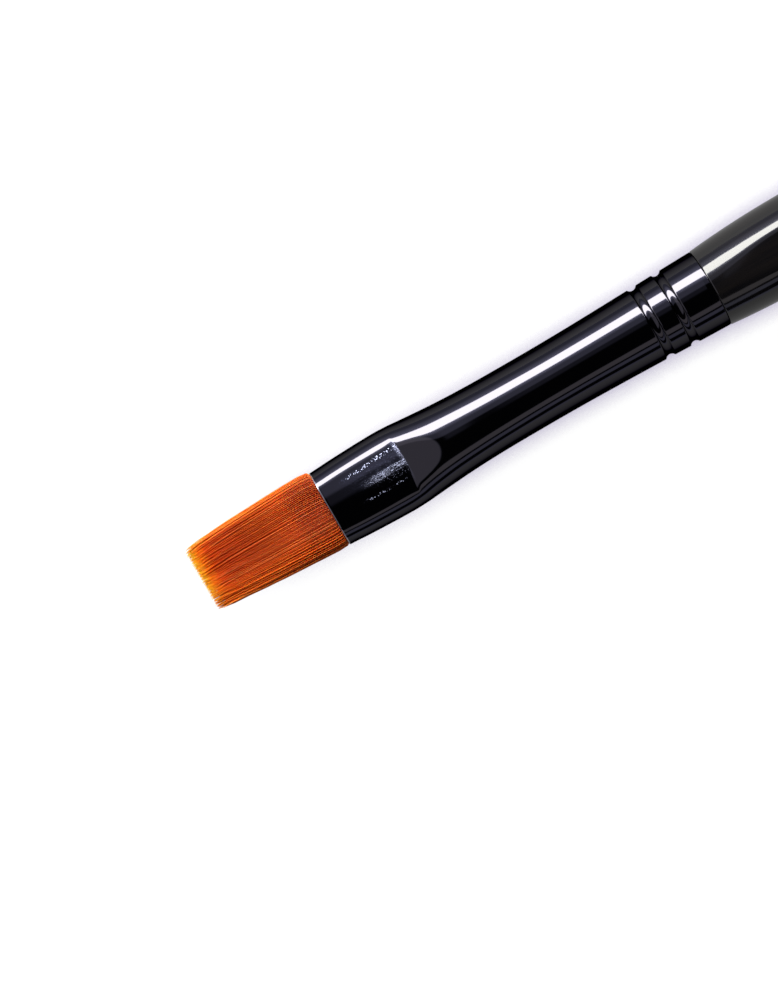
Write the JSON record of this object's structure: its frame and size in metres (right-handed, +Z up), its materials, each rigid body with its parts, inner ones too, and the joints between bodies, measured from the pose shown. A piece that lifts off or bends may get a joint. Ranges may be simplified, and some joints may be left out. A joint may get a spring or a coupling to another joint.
{
  "type": "flat paint brush",
  "caption": "Flat square-tipped artist brush: orange nylon tuft in a pressed black metal ferrule, crimped on a turned wooden handle.",
  "frame": {"origin": "on the surface the brush lies on, under the middle of its length", "axes": "+X along the brush from the tuft to the tail of the handle, +Y across the flat, +Z up from the resting surface, square to the flat of the ferrule"},
  "size_m": [0.1808, 0.0094, 0.0088],
  "materials": {
    "filament": "burnt orange nylon filament, darker at the root and amber at the tip",
    "thread": "undyed polyester thread",
    "resin": "clear amber epoxy",
    "plated_metal": "bright black nickel plate with fine rub marks on the flats",
    "lacquered_wood": "gloss black lacquer"
  },
  "bodies": {
    "brush_body": {"handle": "lacquered_wood", "ferrule": "plated_metal", "bristle_root": "filament", "binding_thread": "thread", "epoxy_plug": "resin"},
    "tuft": {"bristle_tuft": "filament"}
  },
  "joints": [
    {"name": "tuft_flex", "type": "hinge", "parent": "brush_body", "child": "tuft", "pos_m": [-0.07775, 0, 0.0044], "axis": [0, 1, 0], "range_deg": [-30, 30], "stiffness_Nm_per_rad": 0.003}
  ]
}
